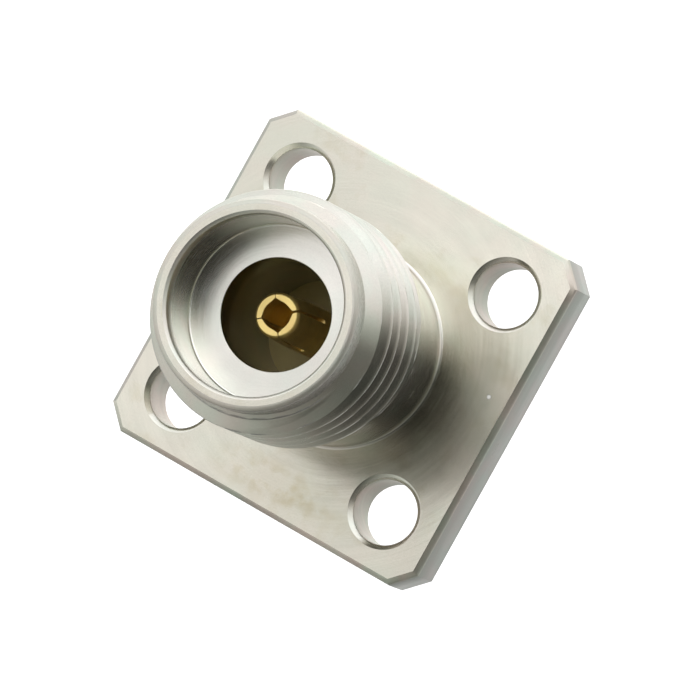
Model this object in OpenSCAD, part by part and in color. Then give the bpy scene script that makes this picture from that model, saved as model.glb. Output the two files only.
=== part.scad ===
// Flange mount coaxial jack for the 2.92 mm air line: a square four hole
// flange and a 1/4-36 threaded barrel turned from one bar, with a slotted
// socket contact held by a support bead and a rear bushing.
// Millimetres. The origin is the centre of the flange's rear face and +Z runs
// along the line towards the mating end.

/* [Flange] */
// Side of the square flange
flange_w = 9.525; // [9.2:0.025:12.7]
// Thickness of the flange
flange_t = 1.5; // [1.2:0.05:2.5]
// Leg of the 45 degree chamfer on each flange corner
corner_leg = 0.58; // [0.2:0.01:0.9]
// Bevel around the flange's front face
front_bevel = 0.14; // [0.05:0.01:0.3]
// Edge break around the flange's rear face
rear_bevel = 0.05; // [0.02:0.01:0.15]
// Centre to centre spacing of the flange holes, both ways
hole_pitch = 6.35; // [6.2:0.01:6.6]
// Diameter of the flange holes
hole_d = 1.70; // [1.4:0.01:1.9]
// Countersink at the front of each flange hole, per side
hole_chamfer = 0.13; // [0.05:0.01:0.2]

/* [Barrel] */
// Length of the barrel in front of the flange
barrel_len = 7.75; // [7:0.05:9]
// Diameter of the plain relief between flange and thread
relief_d = 5.24; // [5:0.01:5.6]
// Length of the plain relief, up to the thread's rear chamfer
relief_len = 2.90; // [2.5:0.05:4]
// Radius of the fillet where the barrel meets the flange
root_fillet = 0.09; // [0.05:0.01:0.3]
// Major diameter of the thread
thread_d = 6.24; // [6.15:0.01:6.35]
// Diameter of the plain nose in front of the thread
nose_d = 5.33; // [5.28:0.01:5.49]
// Length of the plain nose
nose_len = 0.70; // [0.4:0.02:1.1]
// Edge break on the nose
nose_break = 0.09; // [0.03:0.01:0.12]

/* [Mating face] */
// Diameter of the counterbore that takes the plug's sleeve
counterbore_d = 4.60; // [4.55:0.01:4.75]
// Depth of the counterbore, down to the reference plane
counterbore_depth = 1.90; // [1.8:0.01:2.0]
// Chamfer at the mouth of the counterbore
mouth_chamfer = 0.07; // [0.04:0.01:0.15]
// Bore of the air line
line_d = 2.92; // [2.85:0.01:2.95]

/* [Contact] */
// Diameter of the contact in the air line
contact_d = 1.27; // [1.2:0.01:1.3]
// Diameter over the closed finger tips
tip_d = 1.16; // [1.14:0.01:1.26]
// Round over on the finger tips
tip_break = 0.07; // [0.03:0.01:0.1]
// Recess of the finger tips behind the reference plane
tip_recess = 0.05; // [0.02:0.01:0.2]
// Hole between the closed finger tips
tip_hole_d = 0.72; // [0.7:0.01:0.9]
// Hole behind the finger tips
socket_d = 0.93; // [0.91:0.01:0.96]
// Depth of the hole
socket_depth = 2.60; // [2:0.1:3]
// Number of fingers
fingers = 4; // [2:1:6]
// Width of the slots between the fingers
slot_w = 0.07; // [0.04:0.01:0.15]
// Length of the slots
slot_len = 2.10; // [1.5:0.1:2.5]
// Turn of the slots from the flange's side
slot_turn = 36.5; // [0:0.5:90]
// Neck that the bead grips
neck_d = 0.93; // [0.85:0.01:1]
// Diameter of the rear end of the contact
tail_d = 0.80; // [0.75:0.01:0.84]
// Hole in the rear end of the contact
tail_hole_d = 0.32; // [0.28:0.01:0.4]
// Depth of the hole in the rear end
tail_hole_depth = 1.10; // [0.8:0.1:1.4]

/* [Bead and bushing] */
// Diameter of the pocket for bead and bushing
pocket_d = 4.00; // [3.8:0.01:4.2]
// Depth of the pocket from the flange's rear face
pocket_depth = 3.20; // [3:0.1:3.4]
// Thickness of the support bead
bead_t = 1.30; // [1:0.1:1.5]
// Bore of the rear bushing
bushing_bore_d = 1.84; // [1.7:0.01:2]
// Recess of the bushing and contact behind the flange's rear face
rear_recess = 0.06; // [0.03:0.01:0.15]
// Chamfer on the bushing's edges
bushing_chamfer = 0.08; // [0.04:0.01:0.15]

/* [Hidden] */
$fn = 96;
eps = 0.01;
top_z = flange_t + barrel_len;
floor_z = top_z - counterbore_depth;
thread_z0 = flange_t + relief_len;
nose_z0 = top_z - nose_len;
chamfer_h = (thread_d - nose_d) / 2;
bead_z0 = pocket_depth - bead_t;
tip_z = floor_z - tip_recess;
slot_z0 = tip_z - slot_len;
tail_z0 = rear_recess + 0.04;

// Square with equal 45 degree corners, of side w and corner leg c
module cut_square(w, c) {
    h = w / 2;
    polygon([[h, h - c], [h - c, h], [c - h, h], [-h, h - c],
             [-h, c - h], [c - h, -h], [h - c, -h], [h, c - h]]);
}

// Flange slab with bevelled edges, before the barrel is added
module flange_slab() {
    corner_d = (flange_w - corner_leg) / sqrt(2);
    difference() {
        linear_extrude(height = flange_t) cut_square(flange_w, corner_leg);
        for (i = [0 : 3]) {
            edge_cut(flange_w / 2, 90 * i);
            edge_cut(corner_d, 90 * i + 45);
        }
    }
}

// Front bevel and rear edge break on one side of the slab
module edge_cut(d, turn) {
    rotate([0, 0, turn]) rotate([90, 0, 0])
        linear_extrude(height = 2 * flange_w, center = true) {
            polygon([[d - front_bevel, flange_t], [d, flange_t - front_bevel],
                     [d + 0.5, flange_t - front_bevel - 0.5],
                     [d + 0.5, flange_t + 0.5],
                     [d - front_bevel - 0.5, flange_t + 0.5]]);
            polygon([[d - rear_bevel, 0], [d, rear_bevel],
                     [d + 0.5, rear_bevel + 0.5], [d + 0.5, -0.5],
                     [d - rear_bevel - 0.5, -0.5]]);
        }
}

// Half section of the barrel, with its fillet on the flange
module barrel_section() {
    r = relief_d / 2;
    polygon([[0, flange_t - 1], [r, flange_t - 1], [r, thread_z0],
             [thread_d / 2, thread_z0 + thread_d / 2 - r],
             [thread_d / 2, nose_z0 - chamfer_h],
             [nose_d / 2, nose_z0],
             [nose_d / 2, top_z - nose_break],
             [nose_d / 2 - nose_break, top_z],
             [0, top_z]]);
    difference() {
        translate([r - eps, flange_t - eps])
            square([root_fillet + eps, root_fillet + eps]);
        translate([r + root_fillet, flange_t + root_fillet])
            circle(r = root_fillet);
    }
}

// Half section of everything bored out of the body
module bore_section() {
    cr = counterbore_d / 2;
    polygon([[0, -1], [pocket_d / 2 + 0.1, -1], [pocket_d / 2 + 0.1, 0],
             [pocket_d / 2, 0.1],
             [pocket_d / 2, pocket_depth], [line_d / 2, pocket_depth],
             [line_d / 2, floor_z], [cr, floor_z],
             [cr, top_z - mouth_chamfer], [cr + mouth_chamfer, top_z],
             [cr + mouth_chamfer, top_z + 1], [0, top_z + 1]]);
}

// Flange hole with its front countersink
module flange_hole() {
    r = hole_d / 2;
    rotate_extrude()
        polygon([[0, -1], [r + rear_bevel, -1], [r + rear_bevel, 0],
                 [r, rear_bevel],
                 [r, flange_t - hole_chamfer], [r + hole_chamfer, flange_t],
                 [r + hole_chamfer, flange_t + 1], [0, flange_t + 1]]);
}

// Flange and barrel, turned and milled from one bar
module flanged_body() {
    color([0.80, 0.79, 0.74]) difference() {
        union() {
            flange_slab();
            rotate_extrude() barrel_section();
        }
        rotate_extrude() bore_section();
        for (x = [-1, 1], y = [-1, 1])
            translate([x * hole_pitch / 2, y * hole_pitch / 2, 0])
                flange_hole();
    }
}

// Half section of the contact with its front and rear holes
module contact_section() {
    rc = contact_d / 2;
    rt = tip_d / 2;
    polygon([[tail_hole_d / 2, tail_z0], [tail_d / 2 - 0.05, tail_z0],
             [tail_d / 2, tail_z0 + 0.05], [tail_d / 2, bead_z0],
             [neck_d / 2, bead_z0], [neck_d / 2, pocket_depth],
             [rc, pocket_depth], [rc, slot_z0],
             [rt, tip_z - tip_break], [rt - tip_break, tip_z],
             [tip_hole_d / 2, tip_z],
             [tip_hole_d / 2, tip_z - 0.10],
             [socket_d / 2, tip_z - 0.90],
             [socket_d / 2, tip_z - socket_depth],
             [0, tip_z - socket_depth - socket_d / 2],
             [0, tail_z0 + tail_hole_depth + tail_hole_d / 2],
             [tail_hole_d / 2, tail_z0 + tail_hole_depth]]);
}

// Socket contact, slotted into fingers at the front and split at the rear
module centre_contact() {
    color([0.86, 0.66, 0.28]) difference() {
        rotate_extrude() contact_section();
        for (i = [0 : fingers - 1])
            rotate([0, 0, slot_turn + i * 360 / fingers])
                translate([0, -slot_w / 2, slot_z0])
                    cube([contact_d, slot_w, slot_len + 1]);
        translate([-contact_d, -slot_w / 2, -1])
            cube([2 * contact_d, slot_w, 1 + tail_z0 + tail_hole_depth]);
    }
}

// Insulating bead that carries the contact
module support_bead() {
    color([0.50, 0.41, 0.14]) rotate_extrude()
        polygon([[neck_d / 2, bead_z0], [pocket_d / 2, bead_z0],
                 [pocket_d / 2, pocket_depth], [neck_d / 2, pocket_depth]]);
}

// Bushing pressed in behind the bead
module rear_bushing() {
    ro = pocket_d / 2;
    ri = bushing_bore_d / 2;
    c = bushing_chamfer;
    color([0.74, 0.73, 0.69]) rotate_extrude()
        polygon([[ri + c, rear_recess], [ro - c, rear_recess],
                 [ro, rear_recess + c], [ro, bead_z0], [ri, bead_z0],
                 [ri, rear_recess + c]]);
}

flanged_body();
centre_contact();
support_bead();
rear_bushing();
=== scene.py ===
import math

import bpy
import bmesh
import numpy as np
from mathutils import Matrix, Vector
from mathutils.geometry import delaunay_2d_cdt


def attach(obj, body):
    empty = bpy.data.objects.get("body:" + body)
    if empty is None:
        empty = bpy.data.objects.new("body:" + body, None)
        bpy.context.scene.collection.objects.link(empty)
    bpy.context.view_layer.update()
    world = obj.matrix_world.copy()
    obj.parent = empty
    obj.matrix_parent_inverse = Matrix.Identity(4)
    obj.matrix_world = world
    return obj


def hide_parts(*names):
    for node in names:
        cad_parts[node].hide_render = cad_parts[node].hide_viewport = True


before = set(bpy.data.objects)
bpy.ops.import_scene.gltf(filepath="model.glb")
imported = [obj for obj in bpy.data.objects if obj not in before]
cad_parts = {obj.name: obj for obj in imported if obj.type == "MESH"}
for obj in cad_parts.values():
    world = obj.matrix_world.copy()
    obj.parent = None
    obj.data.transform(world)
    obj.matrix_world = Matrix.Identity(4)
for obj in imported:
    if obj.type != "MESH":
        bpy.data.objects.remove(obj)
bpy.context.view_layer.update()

MM = 0.001
TAU = 2 * math.pi

# ---------------------------------------------------------------- sizes (mm)
FLANGE_W = 9.525
FLANGE_T = 1.5
CORNER = 0.58
HOLE_PITCH = 6.35
HOLE_R = 0.85
HOLE_CHAMFER = 0.13
TOP = 9.25
R_RELIEF = 2.62
R_CREST = 3.12
PITCH = 25.4 / 36
R_ROOT = R_CREST - 0.62 * PITCH * 0.8660 + 0.02
R_NOSE = 2.665
R_CBORE = 2.30
R_LINE = 1.445
Z_FLOOR = 7.35
Z_POCKET = 3.20
R_POCKET = 2.00
N = 360


# ------------------------------------------------------------ mesh building
class Builder:
    """Collects vertices and faces in millimetres, each face with a material index."""

    def __init__(self):
        self.v, self.f, self.m, self.flats = [], [], [], 0

    def vert(self, x, y, z):
        self.v.append((x, y, z))
        return len(self.v) - 1

    def ring(self, r, z, n=N, cx=0.0, cy=0.0):
        return [self.vert(cx + r * math.cos(TAU * i / n), cy + r * math.sin(TAU * i / n), z) for i in range(n)]

    def face(self, idx, mat=0):
        out = []
        for i in idx:
            if not out or (i != out[-1] and i != out[0]):
                out.append(i)
        if len(out) >= 3 and len(set(out)) == len(out):
            self.f.append(out)
            self.m.append(mat)

    def band(self, a, b, mat=0, flip=False):
        n = len(a)
        for i in range(n):
            j = (i + 1) % n
            q = (a[i], a[j], b[j], b[i])
            self.face(q[::-1] if flip else q, mat)

    def lathe(self, prof, mats, n=N, cx=0.0, cy=0.0, flip=False, first=None, last=None):
        """Rings along a profile of (r, z), joined in order. The outside is on the right of the path."""
        rings = []
        for k, (r, z) in enumerate(prof):
            if k == 0 and first is not None:
                rings.append(first)
            elif k == len(prof) - 1 and last is not None:
                rings.append(last)
            else:
                rings.append(self.ring(r, z, n, cx, cy))
        for k in range(len(rings) - 1):
            self.band(rings[k], rings[k + 1], mats[k] if isinstance(mats, (list, tuple)) else mats, flip)
        return rings

    def object(self, name, materials, sharp=32.0, weighted=True, flats=False):
        me = bpy.data.meshes.new(name)
        me.from_pydata([(x * MM, y * MM, z * MM) for x, y, z in self.v], [], self.f)
        for m in materials:
            me.materials.append(m)
        me.polygons.foreach_set("material_index", self.m)
        me.update()
        bm = bmesh.new()
        bm.from_mesh(me)
        bmesh.ops.remove_doubles(bm, verts=bm.verts, dist=1e-8)
        bmesh.ops.dissolve_degenerate(bm, edges=bm.edges, dist=1e-9)
        loose = [v for v in bm.verts if not v.link_faces]
        bmesh.ops.delete(bm, geom=loose, context="VERTS")
        bmesh.ops.recalc_face_normals(bm, faces=bm.faces)
        bm.to_mesh(me)
        bm.free()
        me.validate(clean_customdata=False)
        me.polygons.foreach_set("use_smooth", [True] * len(me.polygons))
        me.set_sharp_from_angle(angle=math.radians(sharp))
        if flats:
            # the border of a flat face stays crisp, so that its shading is even right up to the edge
            up = np.array([abs(p.normal.z) > 0.99999 for p in me.polygons])
            seen = {}
            for p in me.polygons:
                for k in p.edge_keys:
                    seen.setdefault(k, []).append(up[p.index])
            attr = me.attributes.get("sharp_edge") or me.attributes.new("sharp_edge", "BOOLEAN", "EDGE")
            val = np.zeros(len(me.edges), bool)
            attr.data.foreach_get("value", val)
            for e in me.edges:
                f = seen.get(tuple(sorted(e.vertices)), [])
                if len(f) == 2 and f[0] != f[1]:
                    val[e.index] = True
            attr.data.foreach_set("value", val)
        o = bpy.data.objects.new(name, me)
        bpy.context.scene.collection.objects.link(o)
        if weighted:
            w = o.modifiers.new("normals", "WEIGHTED_NORMAL")
            w.keep_sharp = True
            w.weight = 60
        return o


def arc(cx, cz, r, a0, a1, n):
    """Points of an arc in the (r, z) half plane, angles in degrees."""
    return [(cx + r * math.cos(math.radians(a0 + (a1 - a0) * k / n)), cz + r * math.sin(math.radians(a0 + (a1 - a0) * k / n)))
            for k in range(n + 1)]


# ----------------------------------------------------------------- the body
def thread_r(s):
    """Radius of the 60 degree thread at s pitches from a crest's middle: small flat at the crest, rounded root."""
    d = abs((s + 0.5) % 1.0 - 0.5) * PITCH
    flat = 0.036
    if d <= flat:
        return R_CREST - 0.005 * (d / flat) ** 4
    r = R_CREST - 0.005 - (d - flat) * 1.7321
    lo = R_ROOT
    k = 0.05
    h = max(0.0, min(1.0, 0.5 + 0.5 * (r - lo) / k))
    return lo + (r - lo) * h + k * h * (1 - h) if h > 0 else lo


def smooth_min(a, b, k):
    h = max(0.0, min(1.0, 0.5 + 0.5 * (b - a) / k))
    return b + (a - b) * h - k * h * (1 - h)


def build_body(mats):
    b = Builder()
    TURNED, FACED, MILLED, BORE, HOLE, EDGE, SEAT, SINK, BEVEL, NOSE, MOUTH, BEVEL_LIT_SIDE = range(12)
    # thread: rows follow the helix, clamped to the flat rings at its two ends
    z_lo, z_hi = 4.40, 8.55
    rows = 30
    dz = PITCH / rows
    crest0 = 1.5 + 6.03
    turns_below = int(math.ceil((z_hi - z_lo) / dz)) + rows + 2
    grid = {}
    low, high = [None] * N, [None] * N

    def radius(z, i):
        s = (z - crest0 - PITCH * i / N) / PITCH
        r = thread_r(s)
        front = R_NOSE + (z_hi - z)
        rear = R_RELIEF + (z - z_lo) * 1.0
        r = min(r, front)
        r = min(r, rear) if rear < R_CREST + 0.2 else r
        return r

    def tv(m, i):
        if i == N:
            m, i = m + rows, 0
        z = z_lo - PITCH + m * dz + PITCH * i / N
        a = math.cos(TAU * i / N), math.sin(TAU * i / N)
        if z <= z_lo + 0.3 * dz:
            if low[i] is None:
                low[i] = b.vert(R_RELIEF * a[0], R_RELIEF * a[1], z_lo)
            return low[i]
        if z >= z_hi - 0.3 * dz:
            if high[i] is None:
                high[i] = b.vert(R_NOSE * a[0], R_NOSE * a[1], z_hi)
            return high[i]
        if (m, i) not in grid:
            r = radius(z, i)
            grid[(m, i)] = b.vert(r * a[0], r * a[1], z)
        return grid[(m, i)]

    for m in range(-2, turns_below + rows):
        for i in range(N):
            b.face((tv(m, i), tv(m, i + 1), tv(m + 1, i + 1), tv(m + 1, i)), TURNED)

    # nose, mouth, counterbore, line bore and pocket, from the thread's front end inwards
    br, bw = 0.09, 0.13
    prof = [(R_NOSE, 8.55), (R_NOSE, 8.62), (R_NOSE, 8.75), (R_NOSE, 8.95), (R_NOSE, 9.10)]
    prof += [(R_NOSE - bw + bw * math.cos(math.radians(a)), TOP - br + br * math.sin(math.radians(a))) for a in range(0, 91, 15)]
    n_face = len(prof)
    prof += [(2.50, TOP), (R_CBORE + 0.085, TOP)]
    prof += [(R_CBORE + 0.070, TOP - 0.004), (R_CBORE + 0.012, TOP - 0.062), (R_CBORE, TOP - 0.082)]
    n_wall = len(prof)
    prof += [(R_CBORE, 8.8), (R_CBORE, 8.2), (R_CBORE, 7.7), (R_CBORE, Z_FLOOR + 0.05)]
    prof += [(R_CBORE - 0.05 + 0.05 * math.cos(math.radians(a)), Z_FLOOR + 0.05 - 0.05 * math.sin(math.radians(a))) for a in (22.5, 45, 67.5)]
    n_floor = len(prof)
    prof += [(R_CBORE - 0.05, Z_FLOOR), (2.0, Z_FLOOR), (1.7, Z_FLOOR), (R_LINE + 0.02, Z_FLOOR)]
    n_bore = len(prof)
    prof += [(R_LINE + 0.006, Z_FLOOR - 0.006), (R_LINE, Z_FLOOR - 0.02), (R_LINE, 6.5), (R_LINE, 5.5), (R_LINE, 4.4), (R_LINE, Z_POCKET),
             (R_POCKET, Z_POCKET), (R_POCKET, 1.9), (R_POCKET, 0.1), (R_POCKET + 0.1, 0.0)]
    mt = []
    for k in range(len(prof) - 1):
        if k < 4:
            mt.append(NOSE)
        elif k < n_face - 1:
            mt.append(EDGE)
        elif k < n_face + 1:
            mt.append(FACED)
        elif k < n_wall:
            mt.append(MOUTH)
        elif k < n_floor - 1:
            mt.append(TURNED)
        else:
            mt.append(SEAT if k < n_bore - 1 else BORE)
    rings = b.lathe(prof, mt, first=high)
    pocket_rim = rings[-1]

    # relief and root fillet, down to the flange
    f = 0.09
    prof = [(R_RELIEF, z_lo), (R_RELIEF, 4.0), (R_RELIEF, 3.4), (R_RELIEF, 2.8), (R_RELIEF, 2.1)]
    prof += [(R_RELIEF + f - f * math.cos(math.radians(a)), FLANGE_T + f - f * math.sin(math.radians(a))) for a in (0, 18, 36, 54, 72, 90)]
    rings = b.lathe(prof, [TURNED] * (len(prof) - 2) + [TURNED], first=low, flip=True)
    root_rim = rings[-1]

    # flange: outline loops from the front face, round the edge, to the rear face
    def outline(inset, z, leg_less=0.0):
        h = FLANGE_W / 2 - inset
        c = CORNER - inset * (2 - math.sqrt(2)) + leg_less
        pts = [(h, h - c), (h - c, h), (c - h, h), (-h, h - c), (-h, c - h), (c - h, -h), (h - c, -h), (h, c - h)]
        per = [3, 30] * 4
        out = []
        for k in range(8):
            p, q = pts[k], pts[(k + 1) % 8]
            for j in range(per[k]):
                t = j / per[k]
                out.append(b.vert(p[0] + (q[0] - p[0]) * t, p[1] + (q[1] - p[1]) * t, z))
        return out

    fb, rb = 0.14, 0.05
    loops = []
    # a 45 degree flat that rolls over into the side
    for ix, iz in ((fb, 0.0), (fb - 0.012, 0.006), (fb - 0.030, 0.022), (fb - 0.088, 0.080), (0.036, 0.102), (0.021, 0.126), (0.009, 0.154), (0.002, 0.184)):
        loops.append(outline(ix, FLANGE_T - iz))
    loops.append(outline(0.0, 0.75))
    loops.append(outline(0.0, rb))
    loops.append(outline(rb * 0.3, rb * 0.3))
    loops.append(outline(rb, 0.0))
    # the bevel's steel changes by side: the -Y side and the corner towards +X -Y take a rougher, less metallic copy
    # of the bevel steel that is painted lighter for the light that falls there; the corner towards -X +Y and the -X
    # side take the darker milled steel of the flange's sides
    bevel_by_side = [BEVEL] * 3 + [BEVEL] * 30 + [MILLED] * 3 + [MILLED] * 30 + [BEVEL] * 3 + [BEVEL_LIT_SIDE] * 30 + [BEVEL_LIT_SIDE] * 3 + [BEVEL] * 30
    for k in range(len(loops) - 1):
        u, v = loops[k], loops[k + 1]
        for i in range(len(u)):
            j = (i + 1) % len(u)
            b.face((v[i], v[j], u[j], u[i]), MILLED if k > 6 else bevel_by_side[i])

    # flange holes
    HN = 72
    top_rims, low_rims = [], []
    for sx in (-1, 1):
        for sy in (-1, 1):
            cx, cy = sx * HOLE_PITCH / 2, sy * HOLE_PITCH / 2
            c = HOLE_CHAMFER
            prof = [(HOLE_R + c, FLANGE_T), (HOLE_R + c - 0.012, FLANGE_T - 0.006), (HOLE_R + 0.012, FLANGE_T - c + 0.012), (HOLE_R + 0.004, FLANGE_T - c + 0.001), (HOLE_R, FLANGE_T - c - 0.014)]
            k = len(prof) - 3
            prof += [(HOLE_R, 1.1), (HOLE_R, 0.7), (HOLE_R, 0.35), (HOLE_R, 0.05), (HOLE_R + 0.05, 0.0)]
            rr = b.lathe(prof, [SINK] * k + [HOLE] * (len(prof) - 1 - k), n=HN, cx=cx, cy=cy)
            top_rims.append((rr[0], cx, cy, HOLE_R + c))
            low_rims.append((rr[-1], cx, cy, HOLE_R + 0.05))

    # flat faces between the outline, the holes and the centre
    def flat(z, outer, centre, centre_r, rims, mat, up):
        co, ids, edges = [], [], []

        def loop(ix):
            s = len(co)
            for k in ix:
                co.append(Vector((b.v[k][0], b.v[k][1])))
                ids.append(k)
            edges.extend((s + k, s + (k + 1) % len(ix)) for k in range(len(ix)))

        loop(outer)
        loop(centre)
        for r in rims:
            loop(r[0])
        g = 0.32
        h = FLANGE_W / 2
        k = int(h / g) + 1
        for iy in range(-k, k + 1):
            for ixx in range(-k, k + 1):
                x, y = (ixx + 0.5 * (iy % 2)) * g, iy * g * 0.866
                m = max(abs(x), abs(y), (abs(x) + abs(y) + CORNER) / math.sqrt(2) if False else 0)
                if m > h - 0.33 or abs(x) + abs(y) > 2 * h - CORNER - 0.5:
                    continue
                if math.hypot(x, y) < centre_r + 0.16:
                    continue
                if any(math.hypot(x - r[1], y - r[2]) < r[3] + 0.14 for r in rims):
                    continue
                co.append(Vector((x, y)))
                ids.append(None)
        vs, _, fs, ov, _, _ = delaunay_2d_cdt(co, edges, [], 1, 1e-7)
        real = []
        for k, v in enumerate(vs):
            src = [ids[j] for j in ov[k] if ids[j] is not None]
            real.append(src[0] if src else b.vert(v[0], v[1], z))
        for tri in fs:
            c = sum((vs[k] for k in tri), Vector((0, 0))) / len(tri)
            if c.length < centre_r - 1e-4:
                continue
            if any((c - Vector((r[1], r[2]))).length < r[3] * 0.9995 for r in rims):
                continue
            t = [real[k] for k in tri]
            p = [b.v[k] for k in t]
            area = sum(p[k][0] * p[(k + 1) % len(p)][1] - p[(k + 1) % len(p)][0] * p[k][1] for k in range(len(p)))
            if (area > 0) != up:
                t.reverse()
            b.face(t, mat)

    flat(FLANGE_T, loops[0], root_rim, R_RELIEF + f, top_rims, FACED, True)
    flat(0.0, loops[-1], pocket_rim, R_POCKET + 0.1, low_rims, FACED, False)
    return b.object("flanged_body_turned", mats, flats=True)


# -------------------------------------------------------------- the contact
def build_contact(mats):
    """Socket contact with four fingers closed in at their tips, one solid ring of metal behind them."""
    b = Builder()
    z_tip = 7.30
    z_slot = z_tip - 2.1
    foot, drop = 0.05, 0.06
    rc = 0.635
    # gap half-width at the tip for each slot (mm), slots at these angles (degrees)
    slots = [(38.5, 0.030), (124.5, 0.007), (218.5, 0.015), (304.5, 0.012)]
    ease = [0.050, 0.074, 0.040, 0.080]
    seg = 26
    n_tot = 4 * (seg + 2)

    def out_r(z):
        t = max(0.0, min(1.0, (z - z_slot) / (z_tip - z_slot)))
        return rc - 0.055 * t ** 1.5

    def in_r(z):
        d = z_tip - z
        if d < 0.9:
            return 0.358 + 0.107 * min(1.0, d / 0.9) ** 0.8
        return 0.465

    tipb, tiph = 0.07, 0.10
    zs_out = [z_slot + (z_tip - tiph - z_slot) * k / 16 for k in range(17)]
    prof = [(out_r(z), z) for z in zs_out]
    r0 = out_r(z_tip - tiph)
    # steep cone with its two edges eased
    prof += [(r0 - 0.012, z_tip - 0.078), (r0 - 0.026, z_tip - 0.052), (r0 - 0.040, z_tip - 0.028), (r0 - 0.052, z_tip - 0.010), (r0 - 0.062, z_tip - 0.002),
             (r0 - tipb, z_tip)]
    ri = in_r(z_tip)
    prof += [(ri + 0.012, z_tip), (ri + 0.003, z_tip - 0.004), (ri, z_tip - 0.014)]
    zs_in = [z_tip - 0.014 - (z_tip - 0.014 - z_slot) * k / 14 for k in range(1, 15)]
    prof += [(in_r(z), z) for z in zs_in]
    k_in = len(prof)

    fingers = []
    for q in range(4):
        a0, g0 = slots[q]
        a1, g1 = slots[(q + 1) % 4]
        if a1 < a0:
            a1 += 360
        cols = []
        for j in range(seg + 1):
            t = j / seg
            col = []
            for r, z in prof:
                w = 0.55 + 0.45 * max(0.0, min(1.0, (z - z_slot) / (z_tip - z_slot)))
                h0 = (foot + (g0 - foot) * max(0.0, (z - z_slot) / (z_tip - z_slot)))
                h1 = (foot + (g1 - foot) * max(0.0, (z - z_slot) / (z_tip - z_slot)))
                p0 = math.radians(a0) + math.asin(min(0.9, h0 / r))
                p1 = math.radians(a1) - math.asin(min(0.9, h1 / r))
                p = p0 + (p1 - p0) * t
                if r < 0.5 and z > z_tip - 0.5:
                    # the corner between bore and slot is eased, so that the hole looks square
                    near = ease[q] if t < 0.5 else ease[(q + 1) % 4]
                    edge = min(t, 1 - t) * math.degrees(p1 - p0)
                    r += near * math.exp(-(edge / 12.0) ** 1.3) * max(0.0, 1 - (z_tip - z) / 0.5)
                col.append(b.vert(r * math.cos(p), r * math.sin(p), z))
            cols.append(col)
        for j in range(seg):
            for k in range(len(prof) - 1):
                b.face((cols[j][k], cols[j + 1][k], cols[j + 1][k + 1], cols[j][k + 1]))
        # slot faces: join the outer and inner profile at each end of the finger
        for col, fl in ((cols[0], True), (cols[-1], False)):
            n_o = 17 + 6
            o = col[:n_o]
            i = col[n_o:][::-1]
            # walk both chains from the slot's foot to the tip
            a, c = 0, 0
            while a < len(o) - 1 or c < len(i) - 1:
                if c == len(i) - 1 or (a < len(o) - 1 and b.v[o[a + 1]][2] <= b.v[i[c + 1]][2]):
                    t3 = (o[a], o[a + 1], i[c])
                    a += 1
                else:
                    t3 = (o[a], i[c + 1], i[c])
                    c += 1
                b.face(t3 if fl else t3[::-1])
            b.face((o[-1], col[n_o], i[-1]) if fl else (i[-1], col[n_o], o[-1]))
        fingers.append(cols)

    # solid part behind the slots: one ring of points that runs through the fingers' feet and the slots' ends
    out_ring, in_ring = [], []
    for q in range(4):
        for col in fingers[q]:
            out_ring.append(col[0])
            in_ring.append(col[-1])
    n = len(out_ring)
    # floors of the slots, which run out towards the outside as a saw leaves them
    for q in range(4):
        a = fingers[q][-1]
        c = fingers[(q + 1) % 4][0]
        for k in (a[0], c[0]):
            b.v[k] = (b.v[k][0], b.v[k][1], b.v[k][2] - drop)
        b.face((a[0], c[0], c[-1], a[-1]))

    def ring_like(src, r, z):
        out = []
        for k in src:
            x, y, _ = b.v[k]
            d = math.hypot(x, y)
            out.append(b.vert(x / d * r, y / d * r, z))
        return out

    cur = out_ring
    for r, z in ((rc, z_slot - drop - 0.03), (rc, 4.6), (rc, 3.9), (rc, 3.21), (rc - 0.01, 3.20), (0.466, 3.20), (0.465, 3.19), (0.465, 2.5), (0.465, 1.91), (0.46, 1.90),
                 (0.40, 1.90), (0.40, 1.0), (0.40, 0.15), (0.35, 0.10), (0.175, 0.10), (0.16, 0.115), (0.16, 0.6), (0.16, 1.2)):
        nxt = ring_like(out_ring, r, z)
        b.band(nxt, cur)
        cur = nxt
    c = b.vert(0, 0, 1.36)
    for k in range(n):
        b.face((c, cur[(k + 1) % n], cur[k]))
    cur = in_ring
    for r, z in ((0.465, z_slot - 0.02), (0.465, 4.70), (0.40, 4.63)):
        nxt = ring_like(in_ring, r, z)
        b.band(cur, nxt)
        cur = nxt
    c = b.vert(0, 0, 4.235)
    for k in range(n):
        b.face((c, cur[k], cur[(k + 1) % n]))
    return b.object("centre_contact_fingers", mats, sharp=35, flats=True)


# ------------------------------------------------------------ node material
def new_mat(name):
    m = bpy.data.materials.new(name)
    m.use_nodes = True
    nt = m.node_tree
    for nd in list(nt.nodes):
        nt.nodes.remove(nd)
    out = nt.nodes.new("ShaderNodeOutputMaterial")
    p = nt.nodes.new("ShaderNodeBsdfPrincipled")
    nt.links.new(p.outputs[0], out.inputs[0])
    return m, nt, p


def simple(name, col, rough, metal=1.0):
    m, nt, p = new_mat(name)
    p.inputs["Base Color"].default_value = (*col, 1)
    p.inputs["Roughness"].default_value = rough
    p.inputs["Metallic"].default_value = metal
    return m


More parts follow.
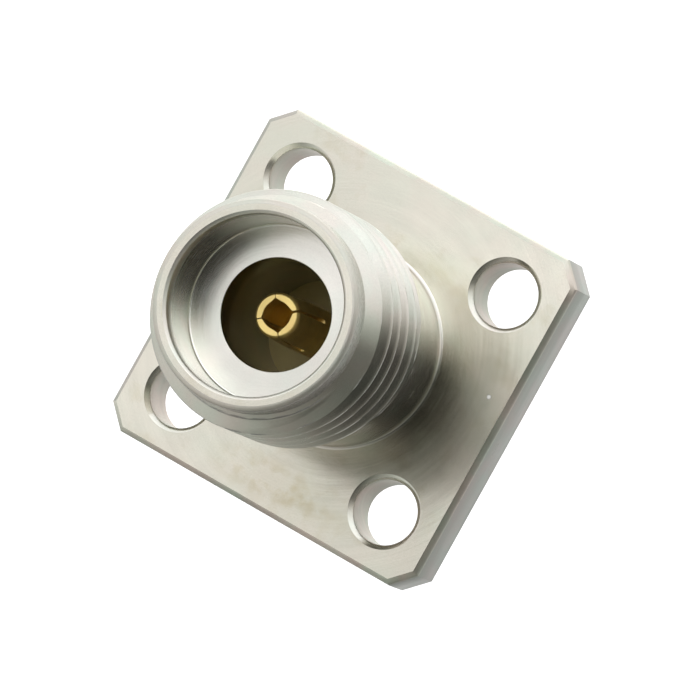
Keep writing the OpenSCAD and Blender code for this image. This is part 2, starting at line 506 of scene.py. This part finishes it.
def machined(name, col, rough, aniso=0.6, ring_depth=0.0006, tone=0.05, rough_var=0.06, tint=0.03, marks=False, straight=False, metallic=1.0):
    """Metal cut on a lathe: grooves run round the Z axis on faces, cylinders and cones alike.
    Milled faces have straight cuts along their edge instead."""
    m, nt, p = new_mat(name)
    N_, L = nt.nodes.new, nt.links.new
    p.inputs["Metallic"].default_value = metallic
    p.inputs["Anisotropic"].default_value = aniso
    p.inputs["Anisotropic Rotation"].default_value = 0.25
    tan = N_("ShaderNodeTangent")
    tan.direction_type, tan.axis = "RADIAL", "Z"
    L(tan.outputs[0], p.inputs["Tangent"])
    tc = N_("ShaderNodeTexCoord")
    mm = N_("ShaderNodeVectorMath")
    mm.operation = "SCALE"
    mm.inputs["Scale"].default_value = 1000.0
    L(tc.outputs["Object"], mm.inputs[0])
    sep = N_("ShaderNodeSeparateXYZ")
    L(mm.outputs[0], sep.inputs[0])

    def math_(op, a, b=None):
        n = N_("ShaderNodeMath")
        n.operation = op
        for k, v in enumerate((a, b)):
            if v is None:
                continue
            if isinstance(v, (int, float)):
                n.inputs[k].default_value = v
            else:
                L(v, n.inputs[k])
        return n.outputs[0]

    x, y, z = sep.outputs
    r = math_("SQRT", math_("ADD", math_("MULTIPLY", x, x), math_("MULTIPLY", y, y)))
    w = math_("ADD", r, math_("MULTIPLY", z, 1.37))
    inv = math_("DIVIDE", 1.0, math_("MAXIMUM", r, 0.2))

    def rings(scale, swirl, detail):
        c = N_("ShaderNodeCombineXYZ")
        if straight:
            L(math_("MULTIPLY", z, scale * 0.6), c.inputs[0])
            L(math_("MULTIPLY", x, swirl * 0.35), c.inputs[1])
            L(math_("MULTIPLY", y, swirl * 0.35), c.inputs[2])
        else:
            L(math_("MULTIPLY", w, scale), c.inputs[0])
            L(math_("MULTIPLY", math_("MULTIPLY", x, inv), swirl), c.inputs[1])
            L(math_("MULTIPLY", math_("MULTIPLY", y, inv), swirl), c.inputs[2])
        n = N_("ShaderNodeTexNoise")
        n.inputs["Scale"].default_value = 1.0
        n.inputs["Detail"].default_value = detail
        L(c.outputs[0], n.inputs["Vector"])
        return n.outputs["Fac"]

    fine, broad = rings(22.0, 1.4, 2.0), rings(3.2, 0.8, 2.0)
    spots = N_("ShaderNodeTexNoise")
    spots.inputs["Scale"].default_value = 1.1
    spots.inputs["Detail"].default_value = 4.0
    L(mm.outputs[0], spots.inputs["Vector"])

    def mapr(v, a, b, lo, hi):
        n = N_("ShaderNodeMapRange")
        n.clamp = True
        for k, q in ((1, a), (2, b), (3, lo), (4, hi)):
            n.inputs[k].default_value = q
        L(v, n.inputs[0])
        return n.outputs[0]

    grain = N_("ShaderNodeTexNoise")
    grain.inputs["Scale"].default_value = 26.0
    grain.inputs["Detail"].default_value = 2.0
    L(mm.outputs[0], grain.inputs["Vector"])
    t = math_("MULTIPLY", mapr(broad, 0.3, 0.7, 1 - tone, 1.0), mapr(spots.outputs["Fac"], 0.3, 0.7, 1 - tone, 1.0))
    t = math_("MULTIPLY", t, mapr(grain.outputs["Fac"], 0.3, 0.7, 0.955, 1.02))

    def blend(fac, ca, cb):
        n = N_("ShaderNodeMix")
        n.data_type = "RGBA"
        for key, q in (("Factor", fac), ("A", ca), ("B", cb)):
            if isinstance(q, (int, float)):
                n.inputs[key].default_value = q
            elif isinstance(q, tuple):
                n.inputs[key].default_value = (*q, 1)
            else:
                L(q, n.inputs[key])
        return n.outputs["Result"]

    def noise(scale, detail, shift=0.0):
        v = N_("ShaderNodeVectorMath")
        v.operation = "ADD"
        v.inputs[1].default_value = (shift, shift * 0.7, shift * 1.3)
        L(mm.outputs[0], v.inputs[0])
        n = N_("ShaderNodeTexNoise")
        n.inputs["Scale"].default_value = scale
        n.inputs["Detail"].default_value = detail
        L(v.outputs[0], n.inputs["Vector"])
        return n.outputs["Fac"]

    # faint patches of a warmer and a greener tone in the passive layer
    warm = (col[0] * (1 + tint), col[1] * (1 - tint * 0.4), col[2] * (1 - tint * 0.6))
    cool = (col[0] * (1 - tint), col[1] * (1 + tint * 0.3), col[2] * (1 - tint * 0.5))
    tinted = blend(mapr(noise(0.9, 4.0, 3.0), 0.38, 0.62, 0.0, 1.0), warm, cool)
    metal = None
    if marks:
        # brown smears on the lower part of the flange's face, small pits, and one speck of dust
        sx = math_("MULTIPLY", math_("SUBTRACT", x, 0.45), 0.85)
        sy = math_("MULTIPLY", math_("ADD", y, 3.98), 2.6)
        area = mapr(math_("SQRT", math_("ADD", math_("MULTIPLY", sx, sx), math_("MULTIPLY", sy, sy))), 0.5, 2.1, 1.0, 0.0)
        smear = math_("MULTIPLY", mapr(noise(2.3, 7.0, 9.0), 0.42, 0.62, 0.22, 1.0), area)
        wide = mapr(noise(1.3, 6.0, 21.0), 0.56, 0.72, 0.0, 0.35)
        tinted = blend(math_("MULTIPLY", math_("MAXIMUM", smear, wide), 0.75), tinted, (col[0] * 0.78, col[1] * 0.71, col[2] * 0.56))
        pits = mapr(noise(14.0, 2.0, 5.0), 0.74, 0.80, 0.0, 0.5)
        tinted = blend(pits, tinted, (0.25, 0.23, 0.19))
        dx, dy = math_("SUBTRACT", x, 4.13), math_("SUBTRACT", y, 0.70)
        dust = mapr(math_("SQRT", math_("ADD", math_("MULTIPLY", dx, dx), math_("MULTIPLY", dy, dy))), 0.040, 0.070, 1.0, 0.0)
        tinted = blend(dust, tinted, (0.93, 0.92, 0.88))
        metal = math_("SUBTRACT", 1.0, dust)
    base = N_("ShaderNodeVectorMath")
    base.operation = "SCALE"
    L(tinted, base.inputs[0])
    L(t, base.inputs["Scale"])
    L(base.outputs[0], p.inputs["Base Color"])
    if metal is not None:
        L(metal, p.inputs["Metallic"])
    L(math_("ADD", mapr(fine, 0.3, 0.7, rough - rough_var / 2, rough + rough_var / 2), mapr(spots.outputs["Fac"], 0.35, 0.65, 0.0, rough_var)), p.inputs["Roughness"])
    bump = N_("ShaderNodeBump")
    bump.inputs["Strength"].default_value = 1.0
    bump.inputs["Distance"].default_value = ring_depth * MM
    L(math_("ADD", fine, math_("MULTIPLY", broad, 2.0)), bump.inputs["Height"])
    L(bump.outputs[0], p.inputs["Normal"])
    return m


def moulded(name, col_a, col_b, rough):
    """Plain moulded plastic: a slightly cloudy tone and a faintly uneven skin."""
    m, nt, p = new_mat(name)
    N_, L = nt.nodes.new, nt.links.new
    tc = N_("ShaderNodeTexCoord")
    n1 = N_("ShaderNodeTexNoise")
    n1.inputs["Scale"].default_value = 900.0
    n1.inputs["Detail"].default_value = 3.0
    L(tc.outputs["Object"], n1.inputs["Vector"])
    mix = N_("ShaderNodeMix")
    mix.data_type = "RGBA"
    L(n1.outputs["Fac"], mix.inputs["Factor"])
    mix.inputs["A"].default_value = (*col_a, 1)
    mix.inputs["B"].default_value = (*col_b, 1)
    L(mix.outputs["Result"], p.inputs["Base Color"])
    mr = N_("ShaderNodeMapRange")
    for k, q in ((1, 0.3), (2, 0.7), (3, rough - 0.06), (4, rough + 0.06)):
        mr.inputs[k].default_value = q
    L(n1.outputs["Fac"], mr.inputs[0])
    L(mr.outputs[0], p.inputs["Roughness"])
    n2 = N_("ShaderNodeTexNoise")
    n2.inputs["Scale"].default_value = 6000.0
    L(tc.outputs["Object"], n2.inputs["Vector"])
    bump = N_("ShaderNodeBump")
    bump.inputs["Strength"].default_value = 1.0
    bump.inputs["Distance"].default_value = 0.002 * MM
    L(n2.outputs["Fac"], bump.inputs["Height"])
    L(bump.outputs[0], p.inputs["Normal"])
    return m


STEEL = (0.70, 0.69, 0.60)
m_turned = machined("steel_turned", (0.70, 0.695, 0.625), 0.19, aniso=0.8)
m_faced = machined("steel_faced", (0.70, 0.68, 0.585), 0.155, aniso=0.75, ring_depth=0.0005, rough_var=0.05, tint=0.014, marks=True)
m_milled = machined("steel_milled", (0.485, 0.49, 0.44), 0.30, aniso=0.2, tone=0.10, tint=0.05, straight=True)
m_bevel = machined("steel_bevel", (0.74, 0.73, 0.64), 0.30, aniso=0.1, tone=0.14, tint=0.06, straight=True, metallic=0.84)
# a rougher, less metallic copy of the bevel steel in a lighter colour: painted light on the -Y side of the bevel
# and its corner towards +X -Y
m_bevel_lit_side = machined("steel_bevel_painted_lighter", (0.78, 0.765, 0.67), 0.38, aniso=0.1, tone=0.20, tint=0.08, straight=True, metallic=0.60)
m_nose = machined("steel_nose", (0.655, 0.65, 0.585), 0.22, aniso=0.75, metallic=0.84)
m_mouth = machined("steel_mouth", (0.80, 0.79, 0.71), 0.32, aniso=0.1, metallic=0.86)
m_bore = machined("steel_bore", (0.56, 0.55, 0.48), 0.16)
m_hole = machined("steel_hole", (0.68, 0.655, 0.58), 0.45, aniso=0.1, tone=0.08, tint=0.05)
m_edge = machined("steel_edges", (0.63, 0.62, 0.545), 0.40, aniso=0.1, rough_var=0.08, metallic=0.78)
m_sink = machined("steel_countersink", (0.80, 0.79, 0.71), 0.18, aniso=0.3)
m_seat = machined("steel_reference_face", (0.76, 0.755, 0.69), 0.19, aniso=0.6, ring_depth=0.0004, rough_var=0.04, tint=0.015)
m_gold = machined("gold_plate", (0.87, 0.665, 0.26), 0.37, aniso=0.3, tint=0.02)
m_bead = moulded("amber_plastic", (0.78, 0.66, 0.28), (0.66, 0.54, 0.21), 0.42)
m_bush = machined("bushing_steel", (0.62, 0.61, 0.54), 0.26)

body = build_body([m_turned, m_faced, m_milled, m_bore, m_hole, m_edge, m_seat, m_sink, m_bevel, m_nose, m_mouth, m_bevel_lit_side])
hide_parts("flanged_body")
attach(body, "root")

contact = build_contact([m_gold])
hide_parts("centre_contact")
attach(contact, "root")

for node, mat in (("support_bead", m_bead), ("rear_bushing", m_bush)):
    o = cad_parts[node]
    o.data.materials.clear()
    o.data.materials.append(mat)

# ------------------------------------------------------------------- camera
def rot(w):
    th = math.sqrt(sum(c * c for c in w))
    k = [c / th for c in w]
    K = Matrix(((0, -k[2], k[1]), (k[2], 0, -k[0]), (-k[1], k[0], 0)))
    return Matrix.Identity(3) + math.sin(th) * K + (1 - math.cos(th)) * (K @ K)


c30, s30 = math.cos(math.radians(30)), math.sin(math.radians(30))
R0 = Matrix(((c30, s30, 0), (s30, -c30, 0), (0, 0, -1)))
R = rot((-0.1326, 0.2830, -0.0123)) @ R0
T = Vector((-0.2152, -0.1253, 210.1))
C = (Vector((0, 0, FLANGE_T)) - R.transposed() @ T) * MM
cam_data = bpy.data.cameras.new("camera")
cam_data.sensor_width = 36.0
cam_data.lens = 8177 * 36 / 700
cam_data.clip_start = 0.001
cam_data.clip_end = 10.0
cam = bpy.data.objects.new("camera", cam_data)
bpy.context.scene.collection.objects.link(cam)
rows3 = (R[0], -R[1], -R[2])
M = Matrix(((rows3[0][0], rows3[1][0], rows3[2][0], C[0]),
            (rows3[0][1], rows3[1][1], rows3[2][1], C[1]),
            (rows3[0][2], rows3[1][2], rows3[2][2], C[2]),
            (0, 0, 0, 1)))
cam.matrix_world = M
bpy.context.scene.camera = cam

# -------------------------------------------------------------- stage, light
FLOOR_Z = -0.06
floor_me = bpy.data.meshes.new("floor")
s = 1.2
floor_me.from_pydata([(-s, -s, FLOOR_Z), (s, -s, FLOOR_Z), (s, s, FLOOR_Z), (-s, s, FLOOR_Z)], [], [(0, 1, 2, 3)])
floor = bpy.data.objects.new("floor", floor_me)
bpy.context.scene.collection.objects.link(floor)
m_floor, nt, p = new_mat("floor_paper")
p.inputs["Base Color"].default_value = (0.80, 0.80, 0.80, 1)
p.inputs["Roughness"].default_value = 0.9
p.inputs["Specular IOR Level"].default_value = 0.1
p.inputs["Emission Color"].default_value = (1, 1, 1, 1)


def fmath(op, a, b=None, c=None):
    n = nt.nodes.new("ShaderNodeMath")
    n.operation = op
    for k, v in enumerate((a, b, c)):
        if v is None:
            continue
        if isinstance(v, (int, float)):
            n.inputs[k].default_value = v
        else:
            nt.links.new(v, n.inputs[k])
    return n.outputs[0]


# a painted pool of light: the floor glows round a spot 26 mm to the -X side of the part, fully within 14 mm of it
# and fading out by 55 mm
tc = nt.nodes.new("ShaderNodeTexCoord")
off = nt.nodes.new("ShaderNodeVectorMath")
off.operation = "DISTANCE"
off.inputs[1].default_value = (-0.026, -0.002, FLOOR_Z)
nt.links.new(tc.outputs["Object"], off.inputs[0])
ramp = nt.nodes.new("ShaderNodeMapRange")
ramp.interpolation_type = "SMOOTHERSTEP"
for k, v in ((1, 0.014), (2, 0.055), (3, 0.55), (4, 0.0)):
    ramp.inputs[k].default_value = v
nt.links.new(off.outputs["Value"], ramp.inputs[0])
# painted light and shade on the paper: it is painted brighter towards the light, at azimuth 112 degrees, and fades
# on the side away from it, and a painted shadow darkens it from 50 to 170 mm out on the side towards +X
fsep = nt.nodes.new("ShaderNodeSeparateXYZ")
nt.links.new(tc.outputs["Object"], fsep.inputs[0])
fx, fy = fsep.outputs[0], fsep.outputs[1]
dist = fmath("SQRT", fmath("ADD", fmath("MULTIPLY", fx, fx), fmath("MULTIPLY", fy, fy)))
ux, uy = math.cos(math.radians(112)), math.sin(math.radians(112))
along = fmath("ADD", fmath("MULTIPLY", fx, ux), fmath("MULTIPLY", fy, uy))
t_f = fmath("DIVIDE", along, fmath("ADD", dist, 0.06))
level_0 = fmath("MULTIPLY_ADD", t_f, 0.75, 0.72)
painted_far_shadow = nt.nodes.new("ShaderNodeMapRange")
painted_far_shadow.interpolation_type = "SMOOTHSTEP"
for k, v in ((1, 0.05), (2, 0.17), (3, 0.0), (4, 0.22)):
    painted_far_shadow.inputs[k].default_value = v
nt.links.new(dist, painted_far_shadow.inputs[0])
# a second painted pool of light: the floor glows round a spot 34 mm towards -X and 95 mm towards +Y
side = nt.nodes.new("ShaderNodeVectorMath")
side.operation = "DISTANCE"
side.inputs[1].default_value = (-0.034, 0.095, FLOOR_Z)
nt.links.new(tc.outputs["Object"], side.inputs[0])
painted_side_pool = nt.nodes.new("ShaderNodeMapRange")
painted_side_pool.interpolation_type = "SMOOTHERSTEP"
for k, v in ((1, 0.02), (2, 0.078), (3, 0.9), (4, 0.0)):
    painted_side_pool.inputs[k].default_value = v
nt.links.new(side.outputs["Value"], painted_side_pool.inputs[0])
dx, dy = math.cos(math.radians(-8)), math.sin(math.radians(-8))
facing = fmath("MAXIMUM", fmath("DIVIDE", fmath("ADD", fmath("MULTIPLY", fx, dx), fmath("MULTIPLY", fy, dy)), fmath("ADD", dist, 0.001)), 0.0)
level_f = fmath("MAXIMUM", fmath("SUBTRACT", level_0, fmath("MULTIPLY", painted_far_shadow.outputs[0], facing)), 0.16)
# the painted level sets the paper's colour up to 0.6 and makes it glow beyond that; the two painted pools of light
# add to the glow
nt.links.new(fmath("MULTIPLY", fmath("MINIMUM", fmath("DIVIDE", level_f, 0.6), 1.0), 0.8), p.inputs["Base Color"])
nt.links.new(fmath("ADD", fmath("ADD", fmath("MAXIMUM", fmath("SUBTRACT", level_f, 0.6), 0.0), ramp.outputs[0]), painted_side_pool.outputs[0]), p.inputs["Emission Strength"])
floor_me.materials.append(m_floor)

# the studio: a wide soft light from +Y and -X, and a dark side from -Y round to +X
world = bpy.data.worlds.new("studio")
bpy.context.scene.world = world
world.use_nodes = True
wn = world.node_tree
for nd in list(wn.nodes):
    wn.nodes.remove(nd)
w_out = wn.nodes.new("ShaderNodeOutputWorld")
bg = wn.nodes.new("ShaderNodeBackground")
wn.links.new(bg.outputs[0], w_out.inputs[0])


def wmath(op, a, b=None):
    n = wn.nodes.new("ShaderNodeMath")
    n.operation = op
    for k, v in enumerate((a, b)):
        if v is None:
            continue
        if isinstance(v, (int, float)):
            n.inputs[k].default_value = v
        else:
            wn.links.new(v, n.inputs[k])
    return n.outputs[0]


wtc = wn.nodes.new("ShaderNodeTexCoord")
wsep = wn.nodes.new("ShaderNodeSeparateXYZ")
wn.links.new(wtc.outputs["Generated"], wsep.inputs[0])
azim = wmath("ADD", wmath("DIVIDE", wmath("ARCTAN2", wsep.outputs[1], wsep.outputs[0]), TAU), 0.5)
polar = wmath("DIVIDE", wmath("ARCCOSINE", wsep.outputs[2]), math.pi)


def wramp(fac, stops):
    n = wn.nodes.new("ShaderNodeValToRGB")
    n.color_ramp.interpolation = "LINEAR"
    e = n.color_ramp.elements
    while len(e) < len(stops):
        e.new(0.5)
    for k, (pos, v) in enumerate(stops):
        e[k].position = pos
        e[k].color = (v, v, v, 1)
    wn.links.new(fac, n.inputs[0])
    return n.outputs[0]


def az_stops(pairs):
    return [((a + 180) / 360, v) for a, v in pairs]


# brightness round the horizon (azimuth in degrees) at four heights of the sky (angle from straight up, in degrees)
SKY = [
    (16, [(-180, 1.16), (-150, 0.68), (-112, 0.45), (-82, 0.26), (-64, 0.08), (-52, 0.025), (28, 0.025), (44, 0.12), (56, 0.45), (69, 1.20), (84, 2.02), (102, 2.45), (130, 2.22), (155, 1.62), (170, 1.22)]),
    (35, [(-180, 1.22), (-150, 0.90), (-112, 0.74), (-96, 0.62), (-82, 0.40), (-66, 0.20), (-50, 0.03), (14, 0.03), (24, 0.14), (38, 0.58), (52, 1.08), (67, 1.52), (84, 1.78), (105, 1.85), (135, 1.60), (165, 1.36)]),
    (57, [(-180, 1.18), (-150, 0.86), (-112, 0.63), (-82, 0.31), (-60, 0.15), (-22, 0.09), (8, 0.15), (22, 0.42), (37, 0.96), (52, 1.18), (67, 1.28), (84, 1.34), (105, 1.30), (135, 1.24), (165, 1.30)]),
    (80, [(-180, 1.05), (-150, 0.74), (-112, 0.72), (-82, 0.42), (-52, 0.28), (-22, 0.20), (8, 0.20), (22, 0.56), (37, 0.98), (52, 1.25), (67, 1.34), (84, 1.34), (105, 1.22), (135, 1.12), (165, 1.14)]),
]
level = None
for k, (at, stops) in enumerate(SKY):
    ramp_k = wramp(azim, az_stops(stops + [(180, stops[0][1])]))
    if level is None:
        level = ramp_k
        continue
    mr = wn.nodes.new("ShaderNodeMapRange")
    mr.clamp = True
    for q, v in ((1, SKY[k - 1][0] / 180), (2, at / 180), (3, 0.0), (4, 1.0)):
        mr.inputs[q].default_value = v
    wn.links.new(polar, mr.inputs[0])
    mix = wn.nodes.new("ShaderNodeMix")
    mix.data_type = "RGBA"
    wn.links.new(mr.outputs[0], mix.inputs["Factor"])
    wn.links.new(level, mix.inputs["A"])
    wn.links.new(ramp_k, mix.inputs["B"])
    level = mix.outputs["Result"]
# the bright parts of the sky are a little cooler than the dim ones
cool_f = wn.nodes.new("ShaderNodeMapRange")
for q, v in ((1, 0.15), (2, 1.4), (3, 0.0), (4, 1.0)):
    cool_f.inputs[q].default_value = v
wn.links.new(level, cool_f.inputs[0])
hue = wn.nodes.new("ShaderNodeMix")
hue.data_type = "RGBA"
wn.links.new(cool_f.outputs[0], hue.inputs["Factor"])
hue.inputs["A"].default_value = (1.0, 0.99, 0.90, 1)
hue.inputs["B"].default_value = (1.0, 1.0, 1.05, 1)
tinted_sky = wn.nodes.new("ShaderNodeVectorMath")
tinted_sky.operation = "MULTIPLY"
wn.links.new(level, tinted_sky.inputs[0])
wn.links.new(hue.outputs["Result"], tinted_sky.inputs[1])
wn.links.new(tinted_sky.outputs[0], bg.inputs[0])
bg.inputs[1].default_value = 1.0
bpy.context.scene.view_settings.view_transform = "Standard"
